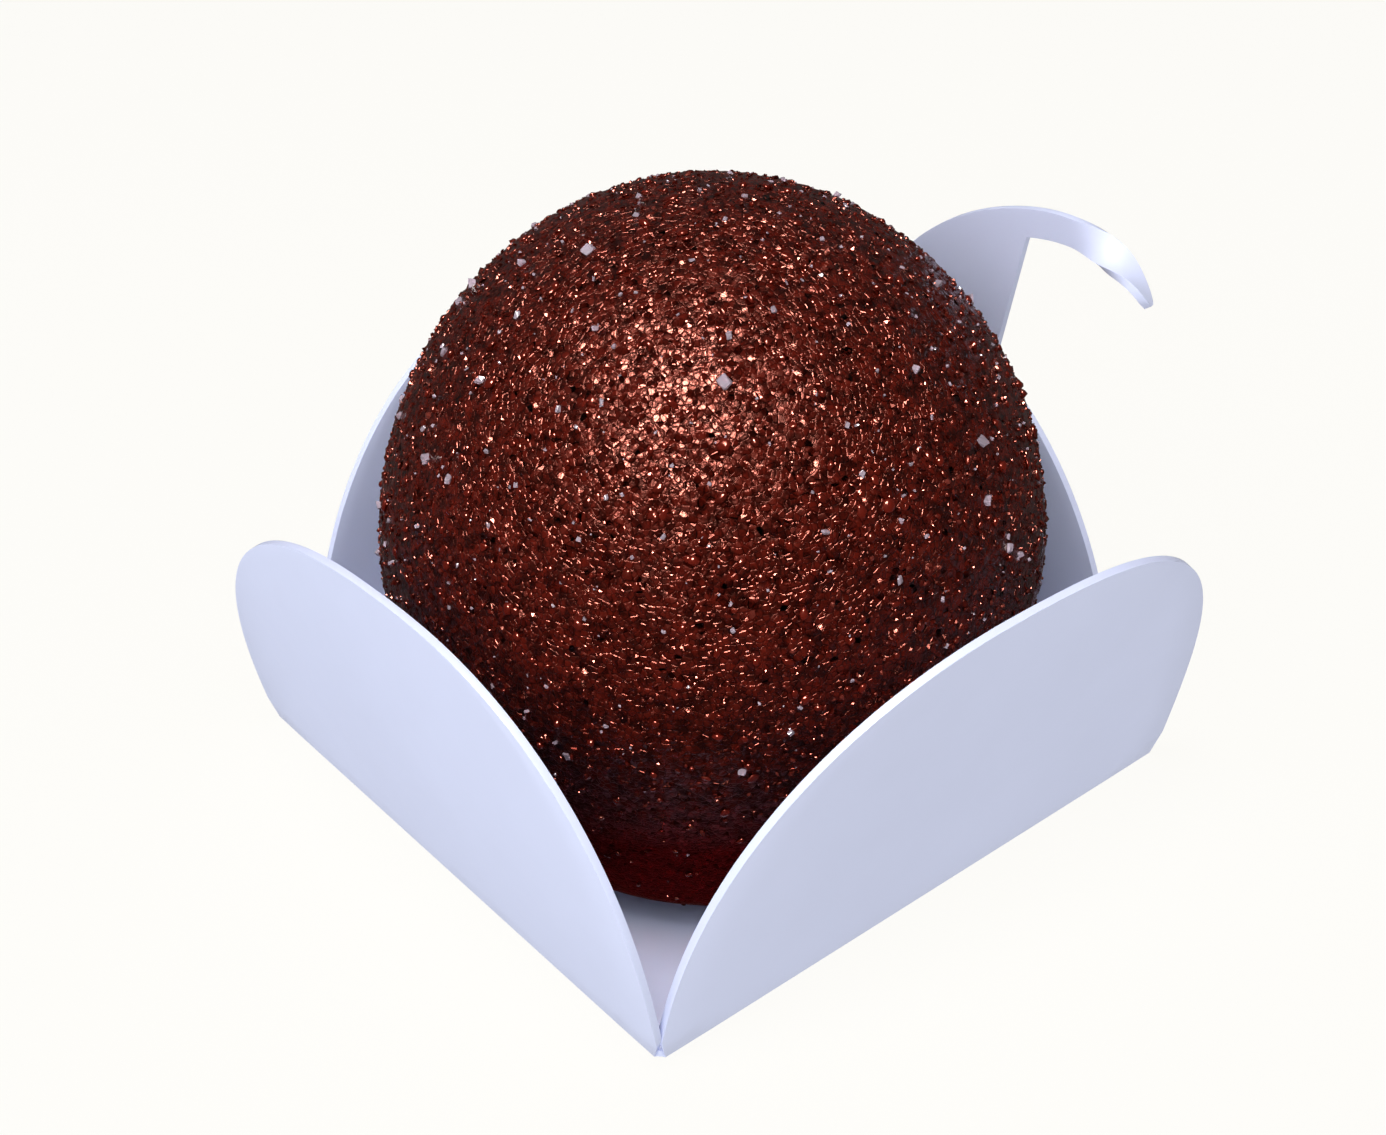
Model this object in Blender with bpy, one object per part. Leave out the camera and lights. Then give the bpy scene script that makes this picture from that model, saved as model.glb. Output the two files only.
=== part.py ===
"""A chocolate truffle standing in its folded card case, at real size.

Run it with: blender --background --python part.py

The case is one sheet of card: a square base with four rounded petals folded up from its
sides. The petal at +X carries a taller tongue that ends in a narrow curled strip. The
truffle is one solid with a small flat foot. +Z is up, and the origin is the middle of the
underside of the base. The base's sides lie along X and Y.
"""

from math import cos, pi, radians, sin, sqrt

import bmesh
import bpy
from mathutils import Matrix, Vector

# Driving dimensions, in metres. Lengths below that end in _RATIO are shares of BASE_SIDE.
BASE_SIDE = 0.032
CARD_THICKNESS = 0.00035
RESTING_GAP = 0.0003

# The truffle: widest radius, its height, the heights of the halves above and below it, and
# how much fuller it is where it has settled on its foot.
TRUFFLE_RADIUS_RATIO = 0.483
TRUFFLE_TOP_RATIO = 0.532
TRUFFLE_WAIST_RATIO = 0.462
TRUFFLE_DEPTH_RATIO = 0.727
TRUFFLE_TAPER = 1.453
TRUFFLE_FOOT_SWELL = 0.12
TRUFFLE_OFFSET_RATIO = (-0.07, -0.11)
TRUFFLE_UNEVENNESS = 0.004
TRUFFLE_RINGS = 15
TRUFFLE_SEGMENTS = 52

# The case: half widths of a petal's foot and of the base between its clipped corners.
FRONT_FOOT_RATIO = 0.493
BACK_FOOT_RATIO = 0.413
PETAL_ROWS = 14
PETAL_COLUMNS = 8

# Each petal: outward direction in degrees about +Z, the arch's half width and height, how
# full the arch is (2 is an ellipse), its outward lean in degrees at the fold, how that lean
# changes up the petal and along the fold, and how far it leans sideways. The rates are per
# BASE_SIDE of travel.
PETALS = {
    "front_left": dict(
        facing=180, half_width=0.506, height=0.613, fullness=2.43,
        lean=14.5, curl=-5.2, twist=-2.3, slant=0.165,
    ),
    "front_right": dict(
        facing=270, half_width=0.506, height=0.613, fullness=2.43,
        lean=12.2, curl=5.9, twist=1.1, slant=0.015,
    ),
    "back_left": dict(
        facing=90, half_width=0.413, height=0.59, fullness=1.9,
        lean=0.0, curl=0.0, twist=0.0, slant=0.0,
    ),
    "back_right": dict(
        facing=0, half_width=0.413, height=0.59, fullness=1.9,
        lean=-3.0, curl=0.0, twist=-3.6, slant=0.0,
    ),
}

# The tongue on the back right petal: a disc's edge on one side, a straight cut on the
# other, and a strip of even width that follows the disc past the cut.
TONGUE_CENTRE = Vector((-0.31, 0.377))
TONGUE_RADIUS = 0.472
TONGUE_START_ANGLE = 21
CUT_FOOT = Vector((-0.14, 0.559))
STRIP_WIDTH = 0.044
STRIP_START_ANGLE = 74.7
STRIP_END_ANGLE = 106
STRIP_TWIST = 125
STRIP_TWIST_START = 0.35
STRIP_DROOP = 0.06
STRIP_TIP_SHARE = 0.12
TONGUE_ROWS = 8
STRIP_ROWS = 14
UP = Vector((0, 0, 1))


def make_material(name, colour, roughness):
    material = bpy.data.materials.new(name)
    material.use_nodes = True
    shader = material.node_tree.nodes["Principled BSDF"]
    shader.inputs["Base Color"].default_value = (*colour, 1)
    shader.inputs["Roughness"].default_value = roughness
    shader.inputs["Metallic"].default_value = 0
    return material


def make_object(name, shape, material):
    mesh = bpy.data.meshes.new(name)
    shape.to_mesh(mesh)
    shape.free()
    mesh.materials.append(material)
    mesh.shade_smooth()
    mesh.set_sharp_from_angle(angle=radians(40))
    piece = bpy.data.objects.new(name, mesh)
    bpy.context.scene.collection.objects.link(piece)
    return piece


def truffle_radius(height):
    """The truffle's radius at a height above the underside of the case."""
    widest = TRUFFLE_RADIUS_RATIO * BASE_SIDE
    rise = height - TRUFFLE_WAIST_RATIO * BASE_SIDE
    if rise >= 0:
        return widest * sqrt(max(0, 1 - (rise / (TRUFFLE_TOP_RATIO * BASE_SIDE)) ** 2))
    share = (-rise / (TRUFFLE_DEPTH_RATIO * BASE_SIDE)) ** TRUFFLE_TAPER
    swell = TRUFFLE_FOOT_SWELL * (-rise / (TRUFFLE_WAIST_RATIO * BASE_SIDE)) ** 4
    return widest * ((1 - share) ** (1 / TRUFFLE_TAPER) + swell)


def add_truffle():
    """A turned solid with a flat foot, made a little uneven as a hand-rolled sweet is."""
    foot = CARD_THICKNESS + RESTING_GAP
    waist = TRUFFLE_WAIST_RATIO * BASE_SIDE
    top = waist + TRUFFLE_TOP_RATIO * BASE_SIDE
    heights = [foot + (waist - foot) * k / TRUFFLE_RINGS for k in range(TRUFFLE_RINGS)]
    heights += [waist + (top - waist) * sin(pi / 2 * k / TRUFFLE_RINGS) for k in range(TRUFFLE_RINGS)]
    profile = [(truffle_radius(height), height) for height in heights]
    shape = bmesh.new()
    rings = []
    for radius, height in profile:
        matrix = Matrix.Translation((0, 0, height))
        ring = bmesh.ops.create_circle(
            shape, segments=TRUFFLE_SEGMENTS, radius=radius, cap_ends=False, matrix=matrix
        )
        rings.append(ring["verts"])
    for lower, upper in zip(rings, rings[1:]):
        edges = {edge for vert in lower + upper for edge in vert.link_edges}
        level = [edge for edge in edges if abs(edge.verts[0].co.z - edge.verts[1].co.z) < 1e-7]
        bmesh.ops.bridge_loops(shape, edges=level)
    shape.faces.new(reversed(rings[0]))
    pole = shape.verts.new((0, 0, top))
    for k, vert in enumerate(rings[-1]):
        shape.faces.new((vert, rings[-1][(k + 1) % TRUFFLE_SEGMENTS], pole))
    for vert in shape.verts:
        turn = Vector((vert.co.x, vert.co.y, 0)).to_2d()
        if turn.length > 0 and vert.co.z > foot:
            bearing = turn.angle_signed(Vector((1, 0)))
            swell = sin(2 * bearing + 1.0) + 0.6 * sin(3 * bearing + 150 * vert.co.z)
            vert.co.xy *= 1 + TRUFFLE_UNEVENNESS * swell
    offset = [share * BASE_SIDE for share in TRUFFLE_OFFSET_RATIO]
    bmesh.ops.translate(shape, verts=shape.verts, vec=(*offset, 0))
    bmesh.ops.recalc_face_normals(shape, faces=shape.faces)
    chocolate = make_material("truffle", (0.062, 0.006, 0.004), 0.3)
    return make_object("truffle", shape, chocolate)


def petal_point(petal, along, up, outward=0.0):
    """The place of a point of a petal's sheet, from shares of BASE_SIDE along the fold and up."""
    facing = Matrix.Rotation(radians(petal["facing"]), 3, "Z")
    out = facing @ Vector((1, 0, 0))
    fold = facing @ Vector((0, 1, 0))
    lean = radians(petal["lean"] + petal["curl"] * up + petal["twist"] * along)
    rising = out * sin(lean) + UP * cos(lean)
    normal = out * cos(lean) - UP * sin(lean)
    flat = out / 2 + fold * (along + petal["slant"] * up) + rising * up + normal * outward
    return flat * BASE_SIDE + UP * CARD_THICKNESS / 2


def arch_point(petal, share, foot):
    """A point of the arch's edge, from its foot (0) to its top (1), for the side at +1 or -1."""
    turn = share * pi / 2
    power = 2 / petal["fullness"]
    along = petal["half_width"] * cos(turn) ** power if share < 1 else 0.0
    up = petal["height"] * sin(turn) ** power
    return (min(along, foot + up) if foot < along else along, up)


def row_points(petal, start, end, shares):
    """The points of one row of a petal's sheet, from one edge to the other."""
    rows = []
    for share in shares:
        along, up = (a + (b - a) * share for a, b in zip(start, end))
        rows.append(petal_point(petal, along, up))
    return rows


def arch_rows(petal, foot, shares):
    """The rows of a whole arch, the last of them drawn in to a point."""
    rows = [row_points(petal, (-foot, 0), (foot, 0), shares)]
    for k in range(1, PETAL_ROWS + 1):
        along, up = arch_point(petal, k / PETAL_ROWS, foot)
        rows.append(row_points(petal, (-along, up), (along, up), shares))
    return rows


def on_tongue(radius, angle):
    return TONGUE_CENTRE + radius * Vector((cos(radians(angle)), sin(radians(angle))))


def arch_side(petal, up):
    """Half the arch's width at a height."""
    power = petal["fullness"]
    return petal["half_width"] * (1 - (up / petal["height"]) ** power) ** (1 / power)


def tongue_rows(petal, shares):
    """The rows of the petal that carries the tongue, up to the strip's tip."""
    rows = []
    start_of_tongue = on_tongue(TONGUE_RADIUS, TONGUE_START_ANGLE)
    for k in range(PETAL_ROWS):
        turn = k / PETAL_ROWS
        low = CUT_FOOT.y * turn
        high = start_of_tongue.y * turn
        rows.append(
            row_points(petal, (-arch_side(petal, low), low), (arch_side(petal, high), high), shares)
        )
    cut_top = on_tongue(TONGUE_RADIUS - STRIP_WIDTH, STRIP_START_ANGLE)
    for k in range(TONGUE_ROWS):
        share = k / TONGUE_ROWS
        angle = TONGUE_START_ANGLE + share * (STRIP_START_ANGLE - TONGUE_START_ANGLE)
        cut = CUT_FOOT.lerp(cut_top, share)
        rows.append(row_points(petal, cut, on_tongue(TONGUE_RADIUS, angle), shares))
    for k in range(STRIP_ROWS + 1):
        rows.append(strip_row(petal, k / STRIP_ROWS, shares))
    return rows


def strip_row(petal, share, shares):
    """A row across the strip, which turns about its own middle as it nears its round tip."""
    angle = STRIP_START_ANGLE + share * (STRIP_END_ANGLE - STRIP_START_ANGLE)
    middle = on_tongue(TONGUE_RADIUS - STRIP_WIDTH / 2 - STRIP_DROOP * share**3, angle)
    width = STRIP_WIDTH
    if share > 1 - STRIP_TIP_SHARE:
        into_tip = (share - 1 + STRIP_TIP_SHARE) / STRIP_TIP_SHARE
        width *= sqrt(max(0, 1 - into_tip**2))
    turning = max(0, (share - STRIP_TWIST_START) / (1 - STRIP_TWIST_START))
    twist = radians(STRIP_TWIST) * turning**2 * (3 - 2 * turning)
    across = on_tongue(1, angle) - TONGUE_CENTRE
    row = []
    for part in shares:
        reach = width * (part - 0.5)
        point = middle + across * reach * cos(twist)
        row.append(petal_point(petal, point.x, point.y, reach * sin(twist)))
    return row


def fill_between(shape, rows):
    """Quads between rows of the same number of points."""
    grid = [[shape.verts.new(point) for point in row] for row in rows]
    for lower, upper in zip(grid, grid[1:]):
        for k in range(len(lower) - 1):
            shape.faces.new((lower[k], lower[k + 1], upper[k + 1], upper[k]))


def base_stations():
    """Where the base's grid lines lie, so that every petal's foot meets them."""
    step = 2 * BACK_FOOT_RATIO / PETAL_COLUMNS
    inner = [-BACK_FOOT_RATIO + step * k for k in range(PETAL_COLUMNS + 1)]
    return [-0.5, -FRONT_FOOT_RATIO, *inner, FRONT_FOOT_RATIO, 0.5]


def add_base(shape):
    """The square base, its four corners clipped by the width that a petal's foot leaves."""
    lines = base_stations()
    last = len(lines) - 1
    level = CARD_THICKNESS / 2
    grid = {}
    for i, x in enumerate(lines):
        for j, y in enumerate(lines):
            if not (i in (0, last) and j in (0, last)):
                grid[i, j] = shape.verts.new((x * BASE_SIDE, y * BASE_SIDE, level))
    for i in range(last):
        for j in range(last):
            corners = [(i, j), (i + 1, j), (i + 1, j + 1), (i, j + 1)]
            shape.faces.new([grid[corner] for corner in corners if corner in grid])


def add_paper_case():
    """One sheet of card, given its thickness after the petals are joined to the base."""
    shape = bmesh.new()
    add_base(shape)
    stations = base_stations()[1:-1]
    front_shares = [(x + FRONT_FOOT_RATIO) / (2 * FRONT_FOOT_RATIO) for x in stations]
    back_shares = [k / PETAL_COLUMNS for k in range(PETAL_COLUMNS + 1)]
    fill_between(shape, arch_rows(PETALS["front_left"], FRONT_FOOT_RATIO, front_shares))
    fill_between(shape, arch_rows(PETALS["front_right"], FRONT_FOOT_RATIO, front_shares))
    fill_between(shape, arch_rows(PETALS["back_left"], BACK_FOOT_RATIO, back_shares))
    fill_between(shape, tongue_rows(PETALS["back_right"], back_shares))
    bmesh.ops.remove_doubles(shape, verts=shape.verts, dist=BASE_SIDE * 1e-5)
    bmesh.ops.recalc_face_normals(shape, faces=shape.faces)
    card = make_material("card", (0.68, 0.72, 0.94), 0.48)
    case = make_object("paper_case", shape, card)
    wall = case.modifiers.new("card thickness", "SOLIDIFY")
    wall.thickness = CARD_THICKNESS
    wall.offset = 0
    wall.use_even_offset = True
    graph = bpy.context.evaluated_depsgraph_get()
    walled = bpy.data.meshes.new_from_object(case.evaluated_get(graph))
    case.modifiers.clear()
    case.data = walled
    for vert in walled.vertices:
        vert.co.z = max(vert.co.z, 0)
    return case


def main():
    for old in list(bpy.data.objects):
        bpy.data.objects.remove(old)
    add_truffle()
    add_paper_case()


main()
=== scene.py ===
"""A chocolate truffle in its folded card case, laid out as a Blender add-on.

Each operator models one piece, or one group of like pieces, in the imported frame's axes. The
sheet of the case and the swell of the truffle follow the same sizes as the frame's solids do.
"""

from math import cos, pi, radians, sin, sqrt

import bpy
import numpy as np
from mathutils import Matrix, Vector


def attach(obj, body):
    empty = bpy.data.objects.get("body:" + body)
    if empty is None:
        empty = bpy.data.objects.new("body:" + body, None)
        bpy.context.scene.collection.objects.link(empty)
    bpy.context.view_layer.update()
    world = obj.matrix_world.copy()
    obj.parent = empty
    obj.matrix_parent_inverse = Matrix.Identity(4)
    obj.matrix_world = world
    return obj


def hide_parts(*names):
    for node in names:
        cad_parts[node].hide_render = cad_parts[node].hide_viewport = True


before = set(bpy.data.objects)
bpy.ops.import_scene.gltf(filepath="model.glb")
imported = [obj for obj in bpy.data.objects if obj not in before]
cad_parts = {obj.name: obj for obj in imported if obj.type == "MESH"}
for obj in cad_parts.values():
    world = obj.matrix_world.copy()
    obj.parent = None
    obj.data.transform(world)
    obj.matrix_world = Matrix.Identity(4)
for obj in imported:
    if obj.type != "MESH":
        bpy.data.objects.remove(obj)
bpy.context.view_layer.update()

bl_info = {
    "name": "Chocolate truffle",
    "version": (1, 0, 0),
    "blender": (4, 5, 0),
    "location": "3D View > Sidebar > Truffle",
    "description": "Models a sugared chocolate truffle in its folded card case",
    "category": "Object",
}

# The case, in shares of the base's side unless a name says otherwise. See CaseSizes.
FRONT_FOOT = 0.493
BACK_FOOT = 0.413
PETALS = {
    "front_left": dict(
        facing=180, half_width=0.506, height=0.613, fullness=2.43,
        lean=14.5, curl=-5.2, twist=-2.3, slant=0.165,
    ),
    "front_right": dict(
        facing=270, half_width=0.506, height=0.613, fullness=2.43,
        lean=12.2, curl=5.9, twist=1.1, slant=0.015,
    ),
    "back_left": dict(
        facing=90, half_width=0.413, height=0.59, fullness=1.9,
        lean=0.0, curl=0.0, twist=0.0, slant=0.0,
    ),
    "back_right": dict(
        facing=0, half_width=0.413, height=0.59, fullness=1.9,
        lean=-3.0, curl=0.0, twist=-3.6, slant=0.0,
    ),
}
TONGUE_CENTRE = Vector((-0.31, 0.377))
TONGUE_RADIUS = 0.472
TONGUE_START_ANGLE = 21
CUT_FOOT = Vector((-0.14, 0.559))
STRIP_WIDTH = 0.044
STRIP_START_ANGLE = 74.7
STRIP_END_ANGLE = 106
STRIP_TWIST = 125
STRIP_TWIST_START = 0.35
STRIP_DROOP = 0.06
STRIP_TIP_SHARE = 0.12
# A front petal widens from its foot by the root of this times the height, up to its arch.
FOOT_SPREAD = 0.012
# The tongued petal's rows: its arch up to the first share, its tongue up to the second.
ARCH_SHARE, TONGUE_SHARE = 0.45, 0.62
UP = Vector((0, 0, 1))

# The truffle, in shares of the base's side.
TRUFFLE_RADIUS = 0.483
TRUFFLE_TOP = 0.532
TRUFFLE_WAIST = 0.462
TRUFFLE_DEPTH = 0.727
TRUFFLE_TAPER = 1.453
TRUFFLE_FOOT_SWELL = 0.12
TRUFFLE_OFFSET = np.array((-0.07, -0.11))
TRUFFLE_UNEVENNESS = 0.004
# How sharply the side turns into the flat foot, the power that the swell grows with, and the
# ripples up the side in radians for each metre.
FOOT_SHARPNESS = 14
SWELL_POWER = 4
RIPPLES = 150

# Relief of the skin: the width of its bumps and how far they stand out, in metres.
SKIN_RELIEF = {"lumps": (0.0011, 0.00014), "knobs": (0.00045, 0.00013)}

# The coating starts at the first height and is full at the second, in metres. The same heights
# paint the chocolate's colour darker low down, as painted shade from the petals.
COATING_AND_SHADE_HEIGHTS = (0.005, 0.018)

# The scatters: tries, seed, least and most width in metres, height for width, share sunk in,
# tipping, and whether they are smooth.
SCATTERS = {
    "fine_grains": (7000, 11, (0.00014, 0.00034), 0.6, 0.5, 0.5, False),
    "small_grains": (9000, 12, (0.00010, 0.00022), 0.7, 0.4, 0.6, False),
    "melted_drops": (1700, 13, (0.00022, 0.0005), 0.6, 0.4, 0.2, True),
    "sugar_crystals": (380, 21, (0.00018, 0.00046), 0.7, 0.35, 0.6, False),
    "sugar_dust": (900, 22, (0.00008, 0.00018), 0.8, 0.25, 0.8, False),
}
# The share of tries kept at each share of the truffle's height.
GRAIN_COVER = [(0, 0), (0.12, 0.03), (0.3, 0.2), (0.55, 0.8), (0.75, 1), (1, 1)]
CRYSTAL_COVER = [(0, 0), (0.3, 0.1), (0.5, 0.5), (0.8, 1), (1, 1)]

# The stage. Places and sizes are in metres, powers in watts.
AIM = (0, 0, 0.012)
LIGHTS = {
    "key": dict(place=(-0.07, -0.05, 0.29), size=0.11, power=0.50, colour=(1, 0.97, 0.95)),
    "glint": dict(place=(-0.110, -0.074, 0.282), size=0.10, power=5.6, colour=(1, 0.97, 0.94)),
    "left_fill": dict(place=(-0.28, -0.16, 0.27), size=0.50, power=1.6, colour=(0.93, 0.965, 1)),
    "right_fill": dict(place=(0.18, -0.34, 0.12), size=0.40, power=0.06, colour=(1, 0.98, 0.94)),
}
SKY_COLOUR, SKY_STRENGTH = (1, 0.98, 0.97, 1), 0.10
FLOOR_SIZE, FLOOR_DROP = 12, 0.00002
FLOOR_COLOUR = (0.04, 0.04, 0.04, 1)
FLOOR_GLOW, FLOOR_GLOW_STRENGTH = (1, 0.99, 0.955, 1), 0.945

# The camera: degrees, then shares of the base's side, then millimetres.
CAMERA_AZIMUTH, CAMERA_ELEVATION, CAMERA_ROLL = -38.68, 34.0, -1.57
CAMERA_DISTANCE, CAMERA_SLIDE_RIGHT, CAMERA_SLIDE_UP = 3.451, -0.02233, 0.26463
CAMERA_LENS, CAMERA_SENSOR = 55.43, 36


# ---------------------------------------------------------------- sizes and colours


class CaseSizes(bpy.types.PropertyGroup):
    base_side: bpy.props.FloatProperty(
        name="Base side",
        description="Side of the square base between its folds",
        default=0.032,
        unit="LENGTH",
    )
    card_thickness: bpy.props.FloatProperty(
        name="Card thickness",
        description="Thickness of the folded card",
        default=0.00035,
        unit="LENGTH",
        precision=5,
    )
    rim_rounding: bpy.props.FloatProperty(
        name="Rim rounding",
        description="Radius of the soft edge that die cutting leaves on the card",
        default=0.00014,
        unit="LENGTH",
        precision=5,
    )
    columns: bpy.props.IntProperty(
        name="Columns", description="Faces across a petal", default=24, min=4
    )
    rows: bpy.props.IntProperty(
        name="Rows", description="Faces up a petal", default=44, min=8
    )
    card_colour: bpy.props.FloatVectorProperty(
        name="Card",
        description="Colour of the lilac card",
        default=(0.70, 0.745, 0.97),
        subtype="COLOR",
    )


class TruffleSizes(bpy.types.PropertyGroup):
    resting_gap: bpy.props.FloatProperty(
        name="Resting gap",
        description="Space kept between the truffle's foot and the case",
        default=0.0003,
        unit="LENGTH",
        precision=5,
    )
    skin_depth: bpy.props.FloatProperty(
        name="Skin depth",
        description="How far the chocolate lies below the outermost grains",
        default=0.00022,
        unit="LENGTH",
        precision=5,
    )
    patch_faces: bpy.props.IntProperty(
        name="Faces per side",
        description="Faces along each edge of the cube that the truffle is rounded from",
        default=126,
        min=8,
    )
    chocolate_colour: bpy.props.FloatVectorProperty(
        name="Chocolate",
        description="Colour of the chocolate skin",
        default=(0.065, 0.0045, 0.0022),
        subtype="COLOR",
    )
    # Painted glint: this copper colour is painted on the lightest grains, to stand in for coppery
    # glints.
    painted_glint_colour: bpy.props.FloatVectorProperty(
        name="Glint",
        description="Colour of the sugar grains that the chocolate has stained",
        default=(0.30, 0.050, 0.034),
        subtype="COLOR",
    )
    crystal_colour: bpy.props.FloatVectorProperty(
        name="Crystal",
        description="Colour of the clear sugar crystals",
        default=(0.64, 0.53, 0.62),
        subtype="COLOR",
    )


# ------------------------------------------------------------------ shared helpers


def deselect_all():
    if bpy.context.mode != "OBJECT":
        bpy.ops.object.mode_set(mode="OBJECT")
    bpy.ops.object.select_all(action="DESELECT")


def apply_modifiers(piece):
    deselect_all()
    piece.select_set(True)
    bpy.context.view_layer.objects.active = piece
    for modifier in list(piece.modifiers):
        bpy.ops.object.modifier_apply(modifier=modifier.name)


def settle(piece, name, node, material):
    """Names a finished piece, gives it its material and fixes it to the frame."""
    piece.name = name
    piece.data.name = name
    piece.data.materials.clear()
    piece.data.materials.append(material)
    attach(piece, "root")
    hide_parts(node)


def vertex_array(mesh):
    points = np.empty(len(mesh.vertices) * 3, np.float32)
    mesh.vertices.foreach_get("co", points)
    return points.reshape(-1, 3).astype(float)


def set_vertices(mesh, points):
    mesh.vertices.foreach_set("co", np.asarray(points, np.float32).ravel())
    mesh.update()


# ---------------------------------------------------------------------- materials


def new_material(name):
    material = bpy.data.materials.new(name)
    material.use_nodes = True
    return material, material.node_tree, material.node_tree.nodes["Principled BSDF"]


def add_node(tree, kind, **settings):
    node = tree.nodes.new(kind)
    for name, value in settings.items():
        if name in node.inputs:
            node.inputs[name].default_value = value
        else:
            setattr(node, name, value)
    return node


def new_group(name, inputs, outputs):
    """A node group with number sockets, its input and output nodes, and its coordinates."""
    group = bpy.data.node_groups.new(name, "ShaderNodeTree")
    for socket, default in inputs.items():
        made = group.interface.new_socket(socket, in_out="INPUT", socket_type="NodeSocketFloat")
        made.default_value = default
    for socket in outputs:
        group.interface.new_socket(socket, in_out="OUTPUT", socket_type="NodeSocketFloat")
    kinds = ("NodeGroupInput", "NodeGroupOutput", "ShaderNodeTexCoord")
    return group, *(group.nodes.new(kind) for kind in kinds)


def noise_group():
    """A node group of three sizes of unevenness on Object coordinates: two masks, a height."""
    name = "Uneven surface"
    if name in bpy.data.node_groups:
        return bpy.data.node_groups[name]
    scales = {"Cloud Scale": 200.0, "Grain Scale": 2000.0, "Fine Scale": 6000.0}
    group, entry, leave, place = new_group(name, scales, ("Clouds", "Grain", "Height"))
    made = {}
    for socket, detail in (("Cloud Scale", 3.0), ("Grain Scale", 4.0), ("Fine Scale", 2.0)):
        noise = add_node(group, "ShaderNodeTexNoise", Detail=detail, Roughness=0.6)
        group.links.new(place.outputs["Object"], noise.inputs["Vector"])
        group.links.new(entry.outputs[socket], noise.inputs["Scale"])
        made[socket] = noise.outputs["Fac"]
    total = add_node(group, "ShaderNodeMath", operation="MULTIPLY_ADD")
    total.inputs[1].default_value = 0.5
    group.links.new(made["Fine Scale"], total.inputs[0])
    group.links.new(made["Grain Scale"], total.inputs[2])
    group.links.new(made["Cloud Scale"], leave.inputs["Clouds"])
    group.links.new(made["Grain Scale"], leave.inputs["Grain"])
    group.links.new(total.outputs["Value"], leave.inputs["Height"])
    return group


def facet_group():
    """A node group of small tilted faces on Object coordinates, as crusted sugar has."""
    name = "Sugar facets"
    if name in bpy.data.node_groups:
        return bpy.data.node_groups[name]
    tilts = {"Cell Scale": 4000.0, "Least Tilt": 0.3, "Most Tilt": 2.0}
    group, entry, leave, place = new_group(name, tilts, ("Tone", "Plateau"))
    group.interface.new_socket("Normal", in_out="OUTPUT", socket_type="NodeSocketVector")
    link = group.links.new
    cells = add_node(group, "ShaderNodeTexVoronoi", feature="F1")
    edges = add_node(group, "ShaderNodeTexVoronoi", feature="DISTANCE_TO_EDGE")
    for texture in (cells, edges):
        link(place.outputs["Object"], texture.inputs["Vector"])
        link(entry.outputs["Cell Scale"], texture.inputs["Scale"])
    plateau = add_node(group, "ShaderNodeMapRange", interpolation_type="SMOOTHSTEP")
    plateau.inputs["From Max"].default_value = 0.16
    link(edges.outputs["Distance"], plateau.inputs["Value"])
    tone = add_node(group, "ShaderNodeTexWhiteNoise", noise_dimensions="3D")
    link(cells.outputs["Color"], tone.inputs["Vector"])
    steep = add_node(group, "ShaderNodeMath", operation="POWER")
    link(tone.outputs["Value"], steep.inputs[0])
    steep.inputs[1].default_value = 3.0
    amount = add_node(group, "ShaderNodeMapRange")
    link(steep.outputs["Value"], amount.inputs["Value"])
    link(entry.outputs["Least Tilt"], amount.inputs["To Min"])
    link(entry.outputs["Most Tilt"], amount.inputs["To Max"])
    centred = add_node(group, "ShaderNodeVectorMath", operation="SUBTRACT")
    link(cells.outputs["Color"], centred.inputs[0])
    centred.inputs[1].default_value = (0.5, 0.5, 0.5)
    tilt = add_node(group, "ShaderNodeVectorMath", operation="SCALE")
    link(centred.outputs["Vector"], tilt.inputs[0])
    link(amount.outputs["Result"], tilt.inputs["Scale"])
    surface = group.nodes.new("ShaderNodeNewGeometry")
    total = add_node(group, "ShaderNodeVectorMath", operation="ADD")
    link(surface.outputs["Normal"], total.inputs[0])
    link(tilt.outputs["Vector"], total.inputs[1])
    unit = add_node(group, "ShaderNodeVectorMath", operation="NORMALIZE")
    link(total.outputs["Vector"], unit.inputs[0])
    link(tone.outputs["Value"], leave.inputs["Tone"])
    link(plateau.outputs["Result"], leave.inputs["Plateau"])
    link(unit.outputs["Vector"], leave.inputs["Normal"])
    return group


def place_facets(tree, scale, least, most):
    """Facets whose steepest tilt is read from a socket."""
    node = tree.nodes.new("ShaderNodeGroup")
    node.node_tree = facet_group()
    node.inputs["Cell Scale"].default_value = scale
    node.inputs["Least Tilt"].default_value = least
    tree.links.new(most, node.inputs["Most Tilt"])
    return node


def place_noise(tree, *scales):
    """Unevenness at three scales: clouds, grain and fine grain."""
    node = tree.nodes.new("ShaderNodeGroup")
    node.node_tree = noise_group()
    for name, scale in zip(("Cloud Scale", "Grain Scale", "Fine Scale"), scales):
        node.inputs[name].default_value = scale
    return node


def colour_ramp(tree, factor, stops):
    ramp = tree.nodes.new("ShaderNodeValToRGB")
    elements = ramp.color_ramp.elements
    while len(elements) < len(stops):
        elements.new(0.5)
    for element, (position, colour) in zip(elements, stops):
        element.position = position
        element.color = (*colour, 1)
    tree.links.new(factor, ramp.inputs["Fac"])
    return ramp.outputs["Color"]


def map_range(tree, value, low, high, to_low, to_high):
    node = add_node(tree, "ShaderNodeMapRange")
    ends = {"From Min": low, "From Max": high, "To Min": to_low, "To Max": to_high}
    for name, number in ends.items():
        node.inputs[name].default_value = number
    tree.links.new(value, node.inputs["Value"])
    return node.outputs["Result"]


def add_bump(tree, shader, height, strength, distance, normal=None):
    bump = add_node(tree, "ShaderNodeBump", Strength=strength, Distance=distance)
    tree.links.new(height, bump.inputs["Height"])
    if normal is not None:
        tree.links.new(normal, bump.inputs["Normal"])
    tree.links.new(bump.outputs["Normal"], shader.inputs["Normal"])


def stain_gloss(shader, level):
    """The coppery reflection of chocolate that has soaked into sugar."""
    shader.inputs["Specular IOR Level"].default_value = level
    shader.inputs["Specular Tint"].default_value = (1, 0.32, 0.24, 1)


def scaled(colour, factor):
    return tuple(min(1.0, channel * factor) for channel in colour)


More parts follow.
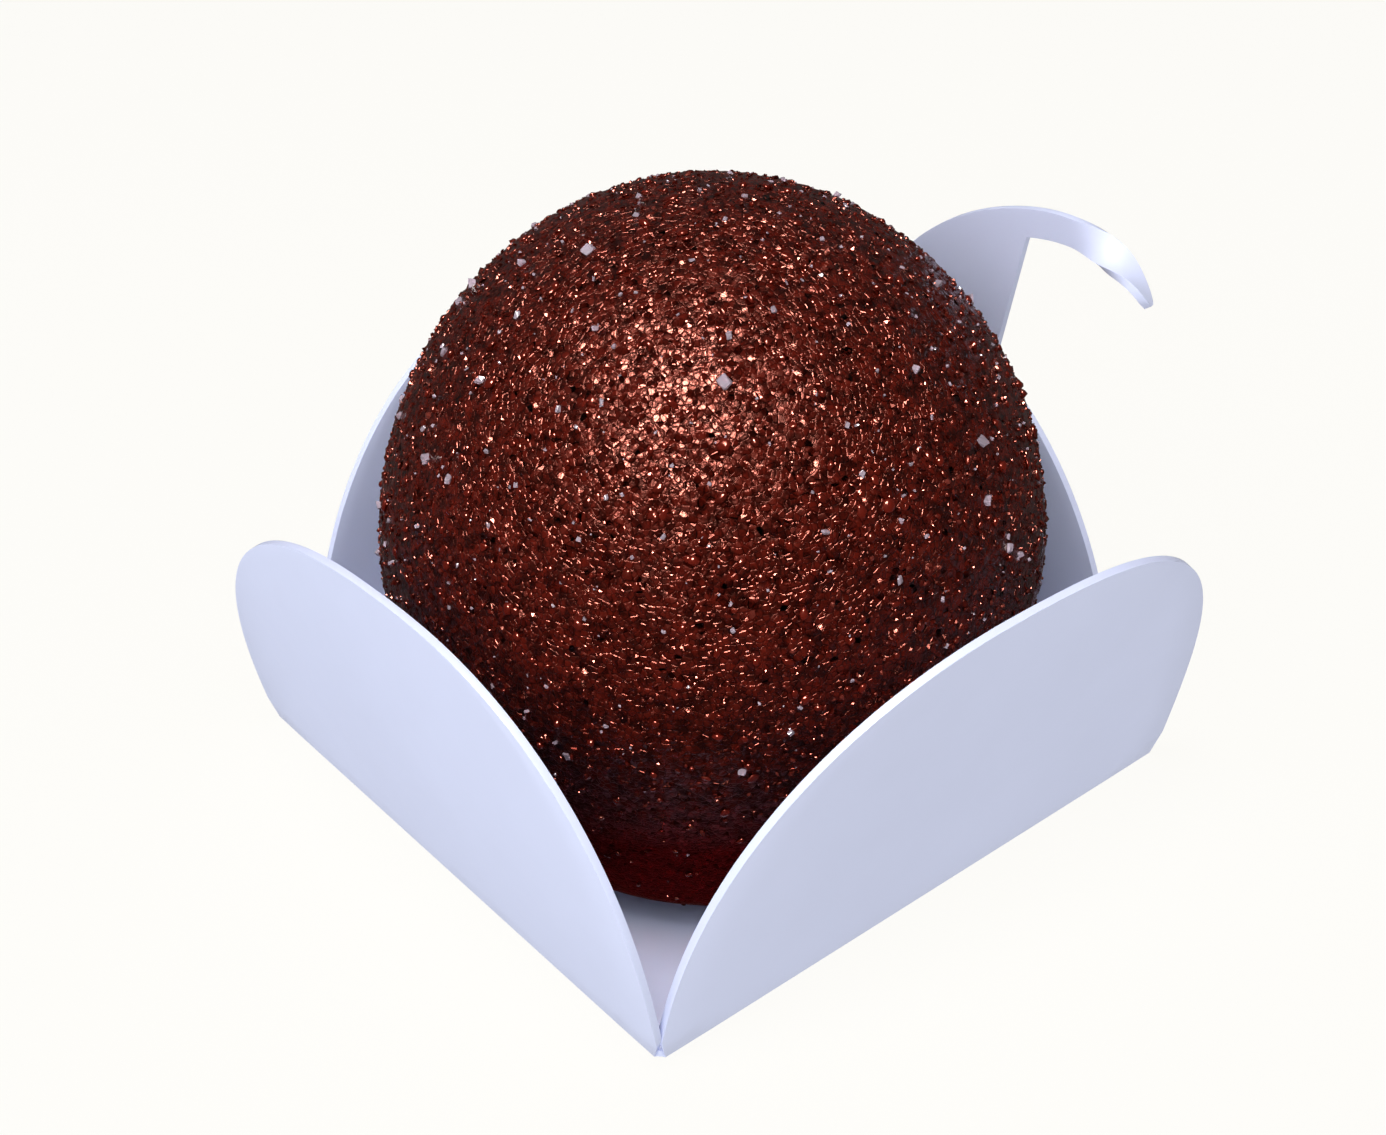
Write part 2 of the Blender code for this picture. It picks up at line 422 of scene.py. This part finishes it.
def card_material(colour):
    """Smooth satin card: faint clouding, a trace of fibre and a fine tooth."""
    material, tree, shader = new_material("lilac card")
    noise = place_noise(tree, 90, 900, 5200)
    tint = colour_ramp(tree, noise.outputs["Clouds"], [(0.3, scaled(colour, 0.965)), (0.7, colour)])
    tree.links.new(tint, shader.inputs["Base Color"])
    rough = map_range(tree, noise.outputs["Grain"], 0.3, 0.7, 0.42, 0.52)
    tree.links.new(rough, shader.inputs["Roughness"])
    shader.inputs["Specular IOR Level"].default_value = 0.12
    add_bump(tree, shader, noise.outputs["Height"], 0.12, 0.00003)
    return material


def chocolate_material(colour):
    """Dark chocolate skin over crusted sugar, with a melted gloss. Its colour varies at random, is
    painted darker low down as shade from the petals, and is painted darker in the grooves between
    facets.
    """
    material, tree, shader = new_material("chocolate skin")
    noise = place_noise(tree, 260, 1900, 5200)
    place = tree.nodes.new("ShaderNodeTexCoord")
    split = tree.nodes.new("ShaderNodeSeparateXYZ")
    tree.links.new(place.outputs["Object"], split.inputs["Vector"])
    coated_and_lit = map_range(tree, split.outputs["Z"], *COATING_AND_SHADE_HEIGHTS, 0, 1)
    facets = place_facets(tree, 3900, 0.12, map_range(tree, coated_and_lit, 0, 1, 0.7, 2.6))
    dark = scaled(colour, 0.38)
    warm = (min(1.0, colour[0] * 1.4), colour[1] * 1.4, colour[2] * 1.3)
    # Painted shade: the grain noise's random tone is darkened towards the facets' edges, in the
    # grooves between them.
    depth = add_node(tree, "ShaderNodeMath", operation="MULTIPLY")
    tree.links.new(noise.outputs["Grain"], depth.inputs[0])
    tree.links.new(map_range(tree, facets.outputs["Plateau"], 0, 1, 0.85, 1), depth.inputs[1])
    # Painted shade: the colour is made darker low down, where the petals shade the truffle, and
    # lighter up top.
    tone_and_shade = add_node(tree, "ShaderNodeMath", operation="MULTIPLY_ADD")
    tree.links.new(coated_and_lit, tone_and_shade.inputs[0])
    tone_and_shade.inputs[1].default_value = 0.14
    tree.links.new(depth.outputs["Value"], tone_and_shade.inputs[2])
    tint = colour_ramp(
        tree,
        tone_and_shade.outputs["Value"],
        [(0.38, scaled(colour, 0.1)), (0.55, dark), (0.68, colour), (0.84, warm)],
    )
    tree.links.new(tint, shader.inputs["Base Color"])
    crusted = map_range(tree, facets.outputs["Tone"], 0.0, 1.0, 0.30, 0.14)
    rough = add_node(tree, "ShaderNodeMapRange")
    tree.links.new(coated_and_lit, rough.inputs["Value"])
    rough.inputs["To Min"].default_value = 0.36
    tree.links.new(crusted, rough.inputs["To Max"])
    tree.links.new(rough.outputs["Result"], shader.inputs["Roughness"])
    tree.links.new(map_range(tree, coated_and_lit, 0.15, 1, 0.95, 0), shader.inputs["Metallic"])
    stain_gloss(shader, 0.36)
    relief = add_node(tree, "ShaderNodeMath", operation="MULTIPLY_ADD")
    relief.inputs[1].default_value = 0.6
    tree.links.new(facets.outputs["Plateau"], relief.inputs[0])
    tree.links.new(noise.outputs["Height"], relief.inputs[2])
    add_bump(tree, shader, relief.outputs["Value"], 0.7, 0.00008, facets.outputs["Normal"])
    return material


def grain_material(name, stops, roughness):
    """Grains whose tone differs from one to the next, read from their own attribute."""
    material, tree, shader = new_material(name)
    tone = add_node(tree, "ShaderNodeAttribute", attribute_name="tone")
    tint = colour_ramp(tree, tone.outputs["Fac"], stops)
    tree.links.new(tint, shader.inputs["Base Color"])
    noise = place_noise(tree, 400, 4000, 9000)
    low, high = roughness
    rough = map_range(tree, noise.outputs["Grain"], 0.3, 0.7, low, high)
    tree.links.new(rough, shader.inputs["Roughness"])
    stain_gloss(shader, 0.7)
    add_bump(tree, shader, noise.outputs["Height"], 0.25, 0.00003)
    return material


def crystal_material(colour):
    """Clear sugar with a frosted face."""
    material, tree, shader = new_material("sugar crystal")
    tone = add_node(tree, "ShaderNodeAttribute", attribute_name="tone")
    tint = colour_ramp(tree, tone.outputs["Fac"], [(0.0, scaled(colour, 0.7)), (1.0, colour)])
    tree.links.new(tint, shader.inputs["Base Color"])
    noise = place_noise(tree, 700, 3000, 9000)
    rough = map_range(tree, noise.outputs["Clouds"], 0.3, 0.7, 0.05, 0.22)
    tree.links.new(rough, shader.inputs["Roughness"])
    shader.inputs["Transmission Weight"].default_value = 0.45
    shader.inputs["IOR"].default_value = 1.5
    add_bump(tree, shader, noise.outputs["Height"], 0.3, 0.00004)
    return material


# ------------------------------------------------------------------- the card case


def petal_point(petal, along, up, outward=0.0):
    """A point of a petal's sheet, from shares of the base's side along the fold and up."""
    sizes = bpy.context.scene.case_sizes
    facing = Matrix.Rotation(radians(petal["facing"]), 3, "Z")
    out = facing @ Vector((1, 0, 0))
    fold = facing @ Vector((0, 1, 0))
    lean = radians(petal["lean"] + petal["curl"] * up + petal["twist"] * along)
    rising = out * sin(lean) + UP * cos(lean)
    normal = out * cos(lean) - UP * sin(lean)
    flat = out / 2 + fold * (along + petal["slant"] * up) + rising * up + normal * outward
    return flat * sizes.base_side + UP * sizes.card_thickness / 2


def arch_side(petal, up):
    """Half the arch's width at a height."""
    power = petal["fullness"]
    return petal["half_width"] * (1 - (up / petal["height"]) ** power) ** (1 / power)


def arch_edge(petal, share, foot):
    """Half the width and the height of an arch, from its foot (0) to its top (1)."""
    if share == 0:
        return foot, 0.0
    turn = share * pi / 2
    power = 2 / petal["fullness"]
    up = petal["height"] * sin(turn) ** power
    along = petal["half_width"] * cos(turn) ** power if share < 1 else 0.0
    if foot < petal["half_width"]:
        along = min(along, foot + sqrt(up * FOOT_SPREAD))
    return along, up


def between(petal, start, end, part):
    along, up = (a + (b - a) * part for a, b in zip(start, end))
    return petal_point(petal, along, up)


def arch_row(petal, share, foot, parts):
    along, up = arch_edge(petal, share, foot)
    return [between(petal, (-along, up), (along, up), part) for part in parts]


def on_tongue(radius, angle):
    return TONGUE_CENTRE + radius * Vector((cos(radians(angle)), sin(radians(angle))))


def strip_row(petal, share, parts):
    """A row across the strip, which turns about its own middle as it nears its round tip."""
    angle = STRIP_START_ANGLE + share * (STRIP_END_ANGLE - STRIP_START_ANGLE)
    middle = on_tongue(TONGUE_RADIUS - STRIP_WIDTH / 2 - STRIP_DROOP * share**3, angle)
    width = STRIP_WIDTH
    if share > 1 - STRIP_TIP_SHARE:
        into_tip = (share - 1 + STRIP_TIP_SHARE) / STRIP_TIP_SHARE
        width *= sqrt(max(0, 1 - into_tip**2))
    turning = max(0, (share - STRIP_TWIST_START) / (1 - STRIP_TWIST_START))
    twist = radians(STRIP_TWIST) * turning**2 * (3 - 2 * turning)
    across = on_tongue(1, angle) - TONGUE_CENTRE
    row = []
    for part in parts:
        reach = width * (part - 0.5)
        point = middle + across * reach * cos(twist)
        row.append(petal_point(petal, point.x, point.y, reach * sin(twist)))
    return row


def tongue_row(petal, share, parts):
    """A row of the petal with the tongue: its arch, then the tongue, then the strip."""
    if share < ARCH_SHARE:
        turn = share / ARCH_SHARE
        low = CUT_FOOT.y * turn
        high = on_tongue(TONGUE_RADIUS, TONGUE_START_ANGLE).y * turn
        start, end = (-arch_side(petal, low), low), (arch_side(petal, high), high)
        return [between(petal, start, end, part) for part in parts]
    if share < TONGUE_SHARE:
        turn = (share - ARCH_SHARE) / (TONGUE_SHARE - ARCH_SHARE)
        angle = TONGUE_START_ANGLE + turn * (STRIP_START_ANGLE - TONGUE_START_ANGLE)
        cut = CUT_FOOT.lerp(on_tongue(TONGUE_RADIUS - STRIP_WIDTH, STRIP_START_ANGLE), turn)
        edge = on_tongue(TONGUE_RADIUS, angle)
        return [between(petal, cut, edge, part) for part in parts]
    return strip_row(petal, (share - TONGUE_SHARE) / (1 - TONGUE_SHARE), parts)


def add_sheet(columns, rows, row_at):
    """A grid primitive whose rows are laid where row_at says, each from its share of the height."""
    deselect_all()
    bpy.ops.mesh.primitive_grid_add(x_subdivisions=columns, y_subdivisions=rows, size=1)
    sheet = bpy.context.object
    start = vertex_array(sheet.data)
    column = np.rint((start[:, 0] + 0.5) * columns).astype(int)
    row = np.rint((start[:, 1] + 0.5) * rows).astype(int)
    laid = np.array([[tuple(point) for point in row_at(k / rows)] for k in range(rows + 1)])
    set_vertices(sheet.data, laid[row, column])
    return sheet


def add_base(columns):
    """The square base with small round corners, its lines where the petals' feet meet it."""
    sizes = bpy.context.scene.case_sizes
    lines = np.array([-0.5, *np.linspace(-BACK_FOOT, BACK_FOOT, columns + 1), 0.5])
    deselect_all()
    bpy.ops.mesh.primitive_grid_add(x_subdivisions=columns + 2, y_subdivisions=columns + 2, size=1)
    base = bpy.context.object
    start = vertex_array(base.data)
    index = np.rint((start[:, :2] + 0.5) * (columns + 2)).astype(int)
    flat = lines[index] * sizes.base_side
    set_vertices(base.data, np.column_stack([flat, np.full(len(flat), sizes.card_thickness / 2)]))
    bpy.ops.object.mode_set(mode="EDIT")
    bpy.ops.mesh.select_mode(type="VERT")
    bpy.ops.mesh.select_all(action="DESELECT")
    bpy.ops.object.mode_set(mode="OBJECT")
    for vertex in base.data.vertices:
        vertex.select = min(abs(vertex.co.x), abs(vertex.co.y)) > 0.499 * sizes.base_side
    bpy.ops.object.mode_set(mode="EDIT")
    bpy.ops.mesh.bevel(
        affect="VERTICES", offset=(0.5 - FRONT_FOOT) * sizes.base_side, segments=4, profile=0.5
    )
    bpy.ops.object.mode_set(mode="OBJECT")
    return base


class OBJECT_OT_truffle_case(bpy.types.Operator):
    """Adds the folded card case: a square base, four rounded petals, a tongue and its strip"""

    bl_idname = "object.truffle_case"
    bl_label = "Card case"

    def execute(self, context):
        sizes = context.scene.case_sizes
        columns, rows = sizes.columns, sizes.rows
        inner = np.linspace(-BACK_FOOT, BACK_FOOT, columns + 1)
        front = (np.array([-FRONT_FOOT, *inner, FRONT_FOOT]) + FRONT_FOOT) / (2 * FRONT_FOOT)
        back = np.linspace(0, 1, columns + 1)
        sheets = [add_base(columns)]
        for name in ("front_left", "front_right"):
            petal = PETALS[name]
            sheets.append(add_sheet(
                columns + 2, rows, lambda share, p=petal: arch_row(p, share, FRONT_FOOT, front)
            ))
        plain, tongued = PETALS["back_left"], PETALS["back_right"]
        sheets.append(add_sheet(
            columns, rows, lambda share: arch_row(plain, share, BACK_FOOT, back)
        ))
        sheets.append(add_sheet(
            columns, 3 * rows, lambda share: tongue_row(tongued, share, back)
        ))
        deselect_all()
        for sheet in sheets:
            sheet.select_set(True)
        case = sheets[0]
        context.view_layer.objects.active = case
        bpy.ops.object.join()
        bpy.ops.object.mode_set(mode="EDIT")
        bpy.ops.mesh.select_all(action="SELECT")
        bpy.ops.mesh.remove_doubles(threshold=sizes.base_side * 2e-5)
        bpy.ops.mesh.normals_make_consistent(inside=False)
        bpy.ops.object.mode_set(mode="OBJECT")
        wall = case.modifiers.new("card thickness", "SOLIDIFY")
        wall.thickness = sizes.card_thickness
        wall.offset = 0
        wall.use_even_offset = True
        rim = case.modifiers.new("soft rim", "BEVEL")
        rim.width = sizes.rim_rounding
        rim.segments = 3
        rim.limit_method = "ANGLE"
        rim.angle_limit = radians(38)
        rim.harden_normals = False
        apply_modifiers(case)
        points = vertex_array(case.data)
        points[:, 2] = np.maximum(points[:, 2], 0)
        set_vertices(case.data, points)
        bpy.ops.object.shade_smooth_by_angle(angle=radians(50))
        settle(case, "folded_case", "paper_case", card_material(sizes.card_colour))
        return {"FINISHED"}


# -------------------------------------------------------------------- the truffle


def skin_points(directions, inset):
    """Where rays from the truffle's middle, along unit directions, meet its skin."""
    case = bpy.context.scene.case_sizes
    side = case.base_side
    foot = case.card_thickness + bpy.context.scene.truffle_sizes.resting_gap
    middle = np.array([*TRUFFLE_OFFSET, TRUFFLE_WAIST]) * side
    radius, top = TRUFFLE_RADIUS * side - inset, TRUFFLE_TOP * side - inset
    depth = TRUFFLE_DEPTH * side - inset
    flat = np.hypot(directions[:, 0], directions[:, 1])
    rise = directions[:, 2]
    upper = 1 / np.sqrt((flat / radius) ** 2 + (rise / top) ** 2)
    fall = np.maximum(-rise, 1e-9)
    spread, drop = (flat / radius) ** TRUFFLE_TAPER, (fall / depth) ** TRUFFLE_TAPER
    lower = (spread + drop) ** (-1 / TRUFFLE_TAPER)
    to_foot = (middle[2] - foot) / fall
    lower = (lower**-FOOT_SHARPNESS + to_foot**-FOOT_SHARPNESS) ** (-1 / FOOT_SHARPNESS)
    reach = np.where(rise >= 0, upper, np.minimum(lower, to_foot))
    points = directions * reach[:, None]
    below = np.clip(-points[:, 2], 0, 0.995 * depth)
    plain = radius * (1 - (below / depth) ** TRUFFLE_TAPER) ** (1 / TRUFFLE_TAPER)
    swell = TRUFFLE_FOOT_SWELL * (below / middle[2]) ** SWELL_POWER * radius
    points[:, :2] *= (1 + swell / plain)[:, None]
    bearing = np.arctan2(points[:, 1], points[:, 0])
    height = points[:, 2] + middle[2]
    wave = np.sin(2 * bearing + 1.0) + 0.6 * np.sin(3 * bearing + RIPPLES * height)
    fade = np.clip((height - foot) / (0.1 * side), 0, 1)
    points[:, :2] *= (1 + TRUFFLE_UNEVENNESS * wave * fade)[:, None]
    return points + middle


class OBJECT_OT_truffle_body(bpy.types.Operator):
    """Adds the truffle's chocolate body, with the knobbly skin that the sugar leaves"""

    bl_idname = "object.truffle_body"
    bl_label = "Truffle body"

    def execute(self, context):
        sizes = context.scene.truffle_sizes
        deselect_all()
        bpy.ops.mesh.primitive_cube_add(size=2)
        body = context.object
        bpy.ops.object.mode_set(mode="EDIT")
        bpy.ops.mesh.subdivide(number_cuts=sizes.patch_faces - 1)
        bpy.ops.object.mode_set(mode="OBJECT")
        grid = vertex_array(body.data)
        even = np.tan(grid * pi / 4)
        directions = even / np.linalg.norm(even, axis=1)[:, None]
        points = skin_points(directions, sizes.skin_depth)
        set_vertices(body.data, points)
        low, high = points[:, 2].min(), points[:, 2].max()
        coating = body.vertex_groups.new(name="coating")
        share = np.clip((points[:, 2] - low) / (high - low), 0, 1)
        levels = np.round(np.clip(0.25 + 1.3 * (share - 0.12), 0.1, 1), 1)
        for level in np.unique(levels):
            chosen = np.flatnonzero(levels == level).tolist()
            coating.add(chosen, float(level), "REPLACE")
        for name, (scale, strength) in SKIN_RELIEF.items():
            texture = bpy.data.textures.new(name, "CLOUDS")
            texture.noise_scale = scale
            texture.noise_depth = 1
            relief = body.modifiers.new(name, "DISPLACE")
            relief.texture = texture
            relief.texture_coords = "LOCAL"
            relief.strength = strength
            relief.mid_level = 0.5
            relief.vertex_group = "coating"
        apply_modifiers(body)
        bpy.ops.object.shade_smooth()
        skin = chocolate_material(sizes.chocolate_colour)
        settle(body, "truffle_body", "truffle", skin)
        return {"FINISHED"}


# --------------------------------------------------------------- grains and crystals


def take_template(piece):
    """The points and triangles of a modelled grain, which is then removed."""
    bpy.ops.object.mode_set(mode="EDIT")
    bpy.ops.mesh.select_all(action="SELECT")
    bpy.ops.mesh.quads_convert_to_tris()
    bpy.ops.object.mode_set(mode="OBJECT")
    points = vertex_array(piece.data)
    faces = np.array([polygon.vertices[:] for polygon in piece.data.polygons])
    bpy.data.objects.remove(piece)
    return points, faces


def model_pebble():
    """A coarse round grain, flattened below."""
    deselect_all()
    bpy.ops.mesh.primitive_ico_sphere_add(subdivisions=1, radius=0.5)
    pebble = bpy.context.object
    points = vertex_array(pebble.data)
    points[:, 2] = np.maximum(points[:, 2], -0.3)
    set_vertices(pebble.data, points)
    return take_template(pebble)


def model_chip():
    """A blunt-cornered sugar crystal, to be stretched and warped."""
    deselect_all()
    bpy.ops.mesh.primitive_cube_add(size=0.8)
    chip = bpy.context.object
    bpy.ops.object.mode_set(mode="EDIT")
    bpy.ops.mesh.bevel(affect="EDGES", offset=0.12, segments=1)
    bpy.ops.object.mode_set(mode="OBJECT")
    return take_template(chip)


def model_drop():
    """A smooth dome, as melted chocolate leaves over a grain."""
    deselect_all()
    bpy.ops.mesh.primitive_ico_sphere_add(subdivisions=2, radius=0.5)
    drop = bpy.context.object
    points = vertex_array(drop.data)
    points[:, 2] = np.where(points[:, 2] < 0, points[:, 2] * 0.4, points[:, 2])
    set_vertices(drop.data, points)
    return take_template(drop)


def spiral_directions(count):
    """Unit directions spread evenly over a sphere."""
    index = np.arange(count) + 0.5
    height = 1 - 2 * index / count
    bearing = pi * (1 + sqrt(5)) * index
    flat = np.sqrt(1 - height**2)
    return np.column_stack([np.cos(bearing) * flat, np.sin(bearing) * flat, height])


def random_turns(directions, chance, tilt):
    """Rotations that stand a grain on the skin, turned at random and tipped a little."""
    up = directions + tilt * chance.normal(size=directions.shape)
    up /= np.linalg.norm(up, axis=1)[:, None]
    side = np.cross(up, chance.normal(size=up.shape))
    side /= np.linalg.norm(side, axis=1)[:, None]
    return np.stack([side, np.cross(up, side), up], axis=2)


def scatter(name, template, cover, material):
    """Settles joined copies of a grain over the skin, as SCATTERS says for the piece."""
    count, seed, (small, large), flatness, sink, tilt, smooth = SCATTERS[name]
    chance = np.random.default_rng(seed)
    points, faces = template
    directions = spiral_directions(count)
    spacing = sqrt(4 * pi / count)
    directions = directions + spacing * 0.45 * chance.normal(size=directions.shape)
    directions /= np.linalg.norm(directions, axis=1)[:, None]
    height = (directions[:, 2] + 1) / 2
    kept = chance.random(count) < np.interp(height, *zip(*cover))
    directions = directions[kept]
    number = len(directions)
    widths = small + (large - small) * chance.random(number) ** 2
    stretch = 1 + 0.3 * chance.normal(size=(number, 3)).clip(-1.5, 1.5)
    stretch[:, 2] *= flatness
    scales = widths[:, None] * stretch.clip(0.35, 1.6)
    inset = bpy.context.scene.truffle_sizes.skin_depth
    centres = skin_points(directions, inset) + directions * (scales[:, 2:] * (0.5 - sink))
    turns = random_turns(directions, chance, tilt)
    warp = 1 + 0.15 * chance.normal(size=(number, len(points), 1))
    shaped = points[None] * warp * scales[:, None, :]
    placed = np.einsum("nij,nkj->nki", turns, shaped) + centres[:, None, :]
    indices = faces[None] + (np.arange(number) * len(points))[:, None, None]
    mesh = bpy.data.meshes.new(name)
    mesh.from_pydata(placed.reshape(-1, 3).tolist(), [], indices.reshape(-1, 3).tolist())
    tone = mesh.attributes.new("tone", "FLOAT", "POINT")
    tone.data.foreach_set("value", np.repeat(chance.random(number), len(points)).astype(np.float32))
    if smooth:
        mesh.shade_smooth()
    piece = bpy.data.objects.new(name, mesh)
    bpy.context.scene.collection.objects.link(piece)
    settle(piece, name, "truffle", material)


class OBJECT_OT_truffle_grains(bpy.types.Operator):
    """Scatters the chocolate-stained sugar grains and the melted drops over the skin"""

    bl_idname = "object.truffle_grains"
    bl_label = "Grains"

    def execute(self, context):
        sizes = context.scene.truffle_sizes
        glint, dark = tuple(sizes.painted_glint_colour), tuple(sizes.chocolate_colour)
        # The grains' colour is a random dark tone, with a painted glint of copper on the lightest
        # of them.
        stained = grain_material(
            "stained sugar",
            [(0.0, scaled(dark, 0.35)), (0.7, scaled(dark, 0.8)), (1.0, scaled(glint, 0.4))],
            (0.12, 0.28),
        )
        pebble = model_pebble()
        for name in ("fine_grains", "small_grains"):
            scatter(name, pebble, GRAIN_COVER, stained)
        melted = grain_material(
            "melted drops", [(0.0, scaled(dark, 0.7)), (1.0, scaled(dark, 1.5))], (0.12, 0.25)
        )
        scatter("melted_drops", model_drop(), GRAIN_COVER, melted)
        return {"FINISHED"}


class OBJECT_OT_truffle_crystals(bpy.types.Operator):
    """Scatters the clear sugar crystals, which lie mostly on the upper half"""

    bl_idname = "object.truffle_crystals"
    bl_label = "Sugar crystals"

    def execute(self, context):
        sizes = context.scene.truffle_sizes
        clear = crystal_material(tuple(sizes.crystal_colour))
        chip = model_chip()
        for name in ("sugar_crystals", "sugar_dust"):
            scatter(name, chip, CRYSTAL_COVER, clear)
        return {"FINISHED"}


# ---------------------------------------------------------------------- the stage


def add_softbox(name, place, size, power, colour):
    light = bpy.data.lights.new(name, "AREA")
    light.shape = "DISK"
    light.size = size
    light.energy = power
    light.color = colour
    lamp = bpy.data.objects.new(name, light)
    bpy.context.scene.collection.objects.link(lamp)
    lamp.location = place
    lamp.rotation_euler = (Vector(AIM) - Vector(place)).to_track_quat("-Z", "Y").to_euler()
    return lamp


def view_axes(azimuth, elevation, roll):
    """The camera's right, up and back directions, from angles in degrees."""
    a, e, r = radians(azimuth), radians(elevation), radians(roll)
    back = Vector((sin(a) * cos(e), -cos(a) * cos(e), sin(e)))
    right = Vector((cos(a), sin(a), 0))
    up = back.cross(right)
    return right * cos(r) + up * sin(r), up * cos(r) - right * sin(r), back


def add_camera():
    side = bpy.context.scene.case_sizes.base_side
    right, up, back = view_axes(CAMERA_AZIMUTH, CAMERA_ELEVATION, CAMERA_ROLL)
    distance = CAMERA_DISTANCE * side
    slide_right, slide_up = CAMERA_SLIDE_RIGHT * side, CAMERA_SLIDE_UP * side
    data = bpy.data.cameras.new("camera")
    data.lens = CAMERA_LENS
    data.sensor_width = CAMERA_SENSOR
    data.clip_start = 0.001
    camera = bpy.data.objects.new("camera", data)
    bpy.context.scene.collection.objects.link(camera)
    place = back * distance + right * slide_right + up * slide_up
    turn = Matrix((right, up, back)).transposed().to_4x4()
    camera.matrix_world = Matrix.Translation(place) @ turn
    bpy.context.scene.camera = camera


class SCENE_OT_truffle_stage(bpy.types.Operator):
    """Adds the pale floor, the soft studio lights and the camera"""

    bl_idname = "scene.truffle_stage"
    bl_label = "Stage"

    def execute(self, context):
        deselect_all()
        bpy.ops.mesh.primitive_plane_add(size=FLOOR_SIZE, location=(0, 0, -FLOOR_DROP))
        floor = context.object
        floor.name = "floor"
        material, _tree, shader = new_material("pale floor")
        shader.inputs["Base Color"].default_value = FLOOR_COLOUR
        shader.inputs["Roughness"].default_value = 0.9
        shader.inputs["Specular IOR Level"].default_value = 0
        shader.inputs["Emission Color"].default_value = FLOOR_GLOW
        shader.inputs["Emission Strength"].default_value = FLOOR_GLOW_STRENGTH
        floor.data.materials.append(material)
        floor.visible_glossy = False
        world = bpy.data.worlds.new("studio")
        world.use_nodes = True
        sky = world.node_tree.nodes["Background"]
        sky.inputs["Color"].default_value = SKY_COLOUR
        sky.inputs["Strength"].default_value = SKY_STRENGTH
        context.scene.world = world
        context.scene.view_settings.view_transform = "Standard"
        lamps = {name: add_softbox(name, **light) for name, light in LIGHTS.items()}
        # The glint gives gloss and no light; the fills give light and no gloss.
        lamps["glint"].visible_diffuse = False
        lamps["left_fill"].visible_glossy = False
        lamps["right_fill"].visible_glossy = False
        add_camera()
        return {"FINISHED"}


# ------------------------------------------------------------- panel and registration


class VIEW3D_PT_truffle(bpy.types.Panel):
    """Lists the pieces of the truffle and their sizes"""

    bl_label = "Chocolate truffle"
    bl_idname = "VIEW3D_PT_truffle"
    bl_space_type = "VIEW_3D"
    bl_region_type = "UI"
    bl_category = "Truffle"

    def draw(self, context):
        for group in (context.scene.case_sizes, context.scene.truffle_sizes):
            for name in group.bl_rna.properties.keys():
                if name not in ("rna_type", "name"):
                    self.layout.prop(group, name)
        for operator in OPERATORS:
            self.layout.operator(operator.bl_idname)


OPERATORS = (
    OBJECT_OT_truffle_case,
    OBJECT_OT_truffle_body,
    OBJECT_OT_truffle_grains,
    OBJECT_OT_truffle_crystals,
    SCENE_OT_truffle_stage,
)
CLASSES = (CaseSizes, TruffleSizes, *OPERATORS, VIEW3D_PT_truffle)


def register():
    for cls in CLASSES:
        bpy.utils.register_class(cls)
    bpy.types.Scene.case_sizes = bpy.props.PointerProperty(type=CaseSizes)
    bpy.types.Scene.truffle_sizes = bpy.props.PointerProperty(type=TruffleSizes)


def unregister():
    del bpy.types.Scene.truffle_sizes
    del bpy.types.Scene.case_sizes
    for cls in reversed(CLASSES):
        bpy.utils.unregister_class(cls)


def main():
    register()
    bpy.ops.object.truffle_case()
    bpy.ops.object.truffle_body()
    bpy.ops.object.truffle_grains()
    bpy.ops.object.truffle_crystals()
    bpy.ops.scene.truffle_stage()


if __name__ == "__main__":
    main()
